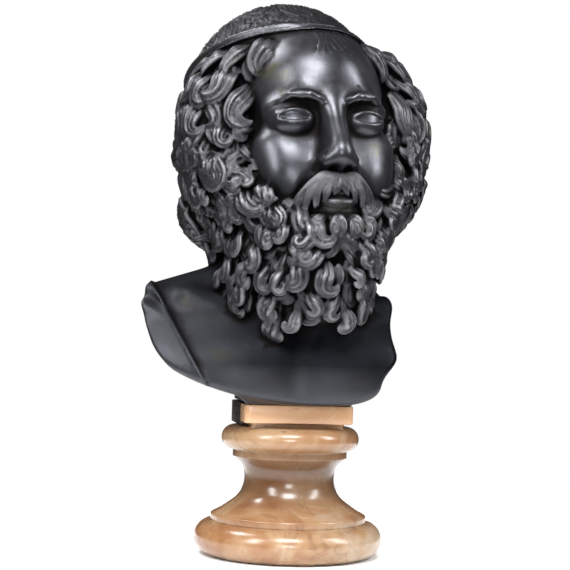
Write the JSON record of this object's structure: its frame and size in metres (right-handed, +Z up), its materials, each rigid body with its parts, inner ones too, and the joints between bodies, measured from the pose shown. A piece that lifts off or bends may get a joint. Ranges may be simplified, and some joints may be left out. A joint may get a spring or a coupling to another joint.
{
  "type": "bronze bust on a socle",
  "caption": "Bronze bust of a bearded elder with curled hair, a headband and draped chest, on a turned marble socle with a tablet.",
  "frame": {"origin": "centre of the socle's flat underside", "axes": "+Z up along the socle's turning axis, -Y out of the tablet's front face"},
  "size_m": [0.2686, 0.271, 0.5042],
  "materials": {
    "bronze": "dark patinated bronze, satin with soft highlights",
    "marble": "polished warm yellow marble with orange and grey veins",
    "dark_stone": "smooth dark block"
  },
  "bodies": {
    "root": {"bust": "bronze", "socle": "marble", "support_block": "dark_stone"}
  },
  "joints": []
}
